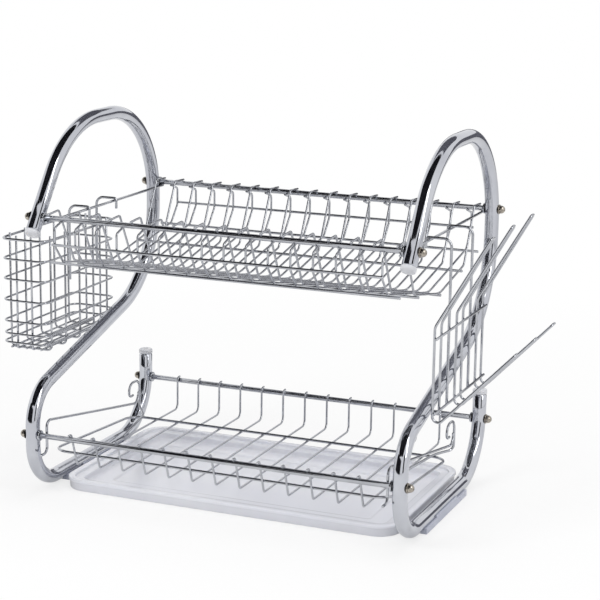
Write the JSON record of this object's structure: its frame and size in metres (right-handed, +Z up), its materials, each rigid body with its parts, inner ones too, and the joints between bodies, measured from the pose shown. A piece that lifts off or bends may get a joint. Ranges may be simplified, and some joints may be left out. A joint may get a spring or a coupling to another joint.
{
  "type": "dish drying rack",
  "caption": "Two-tier wire dish drying rack with S-shaped chromed tube sides, plate trough, bowl tier, utensil basket, cup holder and drip tray.",
  "frame": {"origin": "on the counter, on the underside of the drip tray, midway between the side frames and between the front and rear lower rails", "axes": "+X to the right as seen from the front, along the rails; +Y from front to back; +Z up"},
  "size_m": [0.6012, 0.3193, 0.414],
  "materials": {
    "tube_chrome": "polished chrome plate on steel tube",
    "wire_chrome": "polished chrome plate on steel wire",
    "screw_steel": "smooth zinc-plated steel, slightly warm",
    "grey_plastic": "pale grey moulded plastic, slightly translucent",
    "clip_plastic": "pale blue-grey moulded plastic",
    "tray_plastic": "thin milky white plastic, slightly translucent"
  },
  "bodies": {
    "frame": {"left_side_frame": "tube_chrome", "right_side_frame": "tube_chrome", "tube_end_plugs": "grey_plastic", "left_foot_clip": "clip_plastic", "right_foot_clip": "clip_plastic", "lower_front_rail": "wire_chrome", "lower_rear_rail": "wire_chrome", "upper_front_rail": "wire_chrome", "upper_rear_rail": "wire_chrome", "rail_collars": "wire_chrome", "screw_washers": "screw_steel", "dome_screws": "screw_steel", "upper_cross_wires": "wire_chrome", "upper_divider_wires": "wire_chrome", "upper_front_wires": "wire_chrome", "upper_bottom_wires": "wire_chrome", "upper_rear_wires": "wire_chrome", "upper_left_side_wire": "wire_chrome", "upper_right_side_wire": "wire_chrome", "lower_cross_wires": "wire_chrome", "lower_rim_wire": "wire_chrome", "lower_left_side_wire": "wire_chrome", "lower_right_side_wire": "wire_chrome", "left_scroll_wire": "wire_chrome", "right_scroll_wire": "wire_chrome"},
    "drip_tray": {"drip_tray": "tray_plastic"},
    "utensil_basket": {"basket_top_loop": "wire_chrome", "basket_row_wires": "wire_chrome", "basket_upright_wires": "wire_chrome", "basket_floor_wires": "wire_chrome", "basket_hooks": "wire_chrome"},
    "cup_holder": {"holder_prong_wires": "wire_chrome", "holder_cross_bars": "wire_chrome", "holder_hooks": "wire_chrome"}
  },
  "joints": [
    {"name": "tray_slide", "type": "slide", "parent": "frame", "child": "drip_tray", "axis": [0, -1, 0], "range_m": [0, 0.25]},
    {"name": "basket_lift", "type": "slide", "parent": "frame", "child": "utensil_basket", "axis": [0, 0, 1], "range_m": [0, 0.05]},
    {"name": "cup_holder_lift", "type": "slide", "parent": "frame", "child": "cup_holder", "axis": [0, 0, 1], "range_m": [0, 0.05]}
  ]
}
